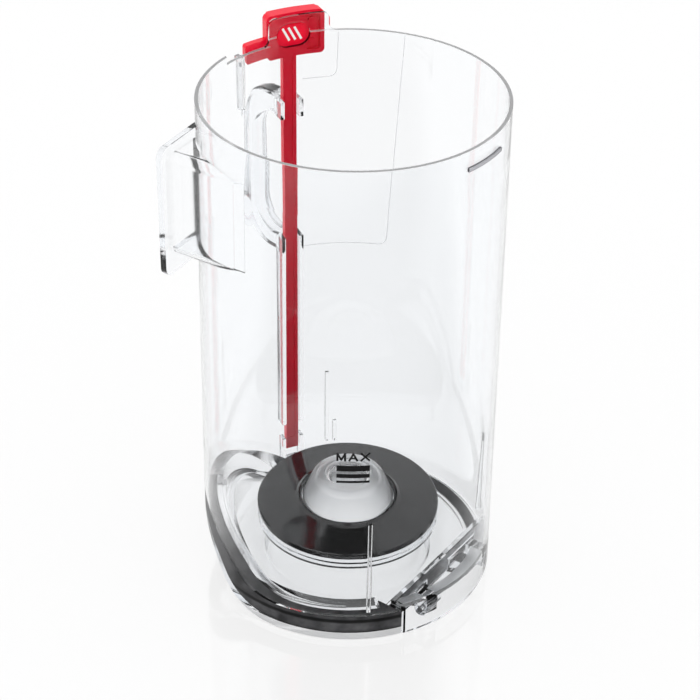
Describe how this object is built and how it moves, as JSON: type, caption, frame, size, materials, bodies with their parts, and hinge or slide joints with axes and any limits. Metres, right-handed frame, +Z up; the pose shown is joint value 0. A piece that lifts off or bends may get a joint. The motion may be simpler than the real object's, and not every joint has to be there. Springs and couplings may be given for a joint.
{
  "type": "cyclone dust bin",
  "caption": "Clear tapered dust cup with a side inlet duct, a carry handle, a hinged base flap with rubber seals and a red press-down release rod.",
  "frame": {"origin": "on the cup's axis, in the plane of the base flap's underside, which it stands on", "axes": "+Z up along the cup's axis towards its open rim; +X to the picture's right, -Y towards the viewer"},
  "size_m": [0.1689, 0.1764, 0.284],
  "materials": {
    "clear_cup": "gloss",
    "clear_base": "gloss",
    "gasket_rubber": "satin",
    "seal_rubber": "satin",
    "red_plastic": "gloss",
    "pin_steel": "satin",
    "spring_steel": "satin"
  },
  "bodies": {
    "bin": {"bin_body": "clear_cup", "hinge_pin": "pin_steel", "return_spring": "spring_steel"},
    "flap": {"base_flap": "clear_base", "rim_gasket": "gasket_rubber", "pedestal_seal": "seal_rubber"},
    "rod": {"release_rod": "red_plastic"}
  },
  "joints": [
    {"name": "flap_hinge", "type": "hinge", "parent": "bin", "child": "flap", "pos_m": [0.05365, -0.03827, 0.007], "axis": [-0.5807, -0.8141, 0], "range_deg": [0, 90]},
    {"name": "rod_slide", "type": "slide", "parent": "bin", "child": "rod", "axis": [0, 0, -1], "range_m": [0, 0.006], "stiffness_N_per_m": 300, "springref_m": -0.003, "deforming": ["return_spring"]}
  ]
}
